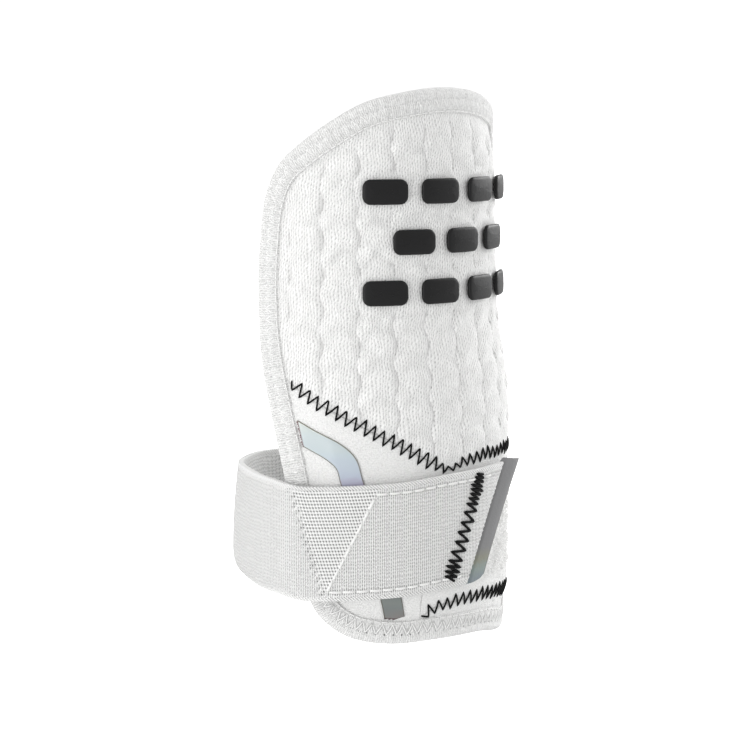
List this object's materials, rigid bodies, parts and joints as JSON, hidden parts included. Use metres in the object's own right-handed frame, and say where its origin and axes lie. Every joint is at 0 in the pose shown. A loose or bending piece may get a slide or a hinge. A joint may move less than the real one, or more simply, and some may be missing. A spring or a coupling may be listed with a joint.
{
  "type": "batting hand protector",
  "caption": "White padded guard bent round the back of a batter's left hand, with quilted knit cover, bound edge, black rubber lugs and an elastic wrist strap that closes on the front.",
  "frame": {"origin": "on the axis that the guard is bent round, level with the middle of the wrist strap, where the wrist sits", "axes": "+Z towards the fingers, -Y out of the back of the hand, +X towards the thumb"},
  "size_m": [0.0817, 0.0637, 0.1495],
  "materials": {
    "lining": "matt brushed lining on foam",
    "knit_white": "matt knit",
    "loop_white": "matt loop pile",
    "binding_white": "matt ribbed tape",
    "elastic_white": "matt woven elastic",
    "hook_white": "matt hook tape",
    "label_grey": "satin coated tape",
    "film_iridescent": "glossy pearl film",
    "rubber_black": "satin moulded rubber"
  },
  "bodies": {
    "root": {"pad_body": "lining", "upper_cover": "knit_white", "lower_cover": "loop_white", "heel_cover": "loop_white", "edge_binding": "binding_white", "stripe": "film_iridescent", "strap": "elastic_white", "hook_patch": "hook_white", "pull_tab": "label_grey", "lug_1": "rubber_black", "lug_2": "rubber_black", "lug_3": "rubber_black", "lug_4": "rubber_black", "lug_5": "rubber_black", "lug_6": "rubber_black", "lug_7": "rubber_black", "lug_8": "rubber_black", "lug_9": "rubber_black", "lug_10": "rubber_black", "lug_11": "rubber_black"}
  },
  "joints": []
}
